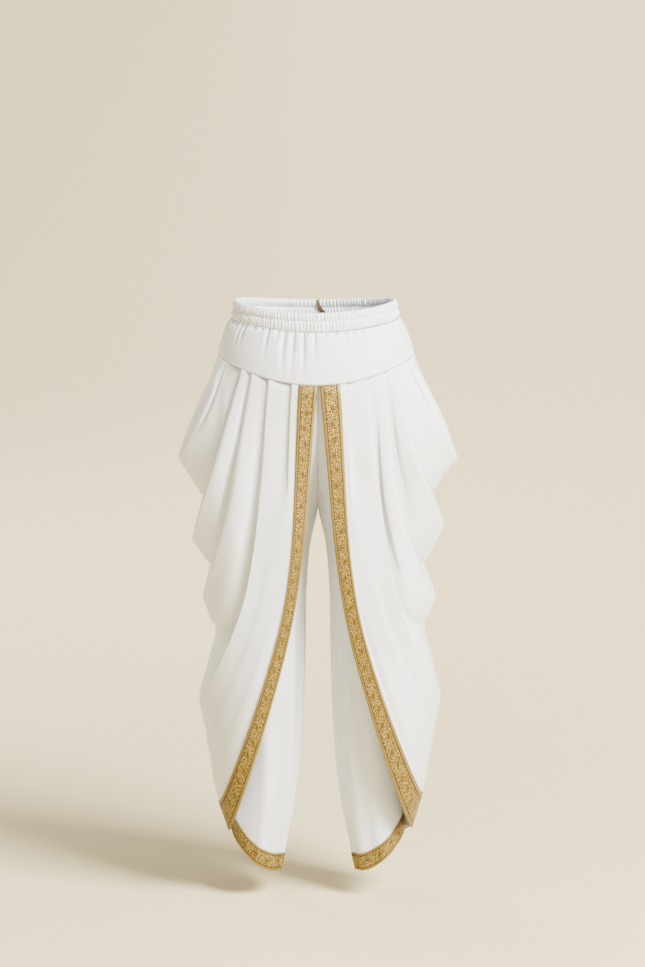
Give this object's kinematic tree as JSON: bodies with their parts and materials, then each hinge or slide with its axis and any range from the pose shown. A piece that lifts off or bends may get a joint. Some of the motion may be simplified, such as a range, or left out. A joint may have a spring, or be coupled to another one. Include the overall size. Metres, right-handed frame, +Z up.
{
  "type": "dhoti pants",
  "caption": "Draped ankle-length pants with a ribbed elastic waist, a curved yoke, pleated side-swagged panels, tapered inner legs and a gold woven border.",
  "frame": {"origin": "centre of the gathered waist, where the wearer's waist holds the garment, level with the crease between the elastic channels at the sides", "axes": "+Z up along the legs, the front faces -Y, +X to the right of the picture"},
  "size_m": [0.4722, 0.2477, 0.9781],
  "materials": {
    "white_cloth": "softly lustrous crepe",
    "gold_border": "metallic thread brocade",
    "brown_tab": "woven tape"
  },
  "bodies": {
    "root": {"waistband_upper": "white_cloth", "waistband_lower": "white_cloth", "yoke_front": "white_cloth", "yoke_back": "white_cloth", "leg_left": "white_cloth", "leg_right": "white_cloth", "drape_left": "white_cloth", "drape_right": "white_cloth", "border_front_left": "gold_border", "border_front_right": "gold_border", "border_hem_left": "gold_border", "border_hem_right": "gold_border", "back_tab": "brown_tab"}
  },
  "joints": []
}
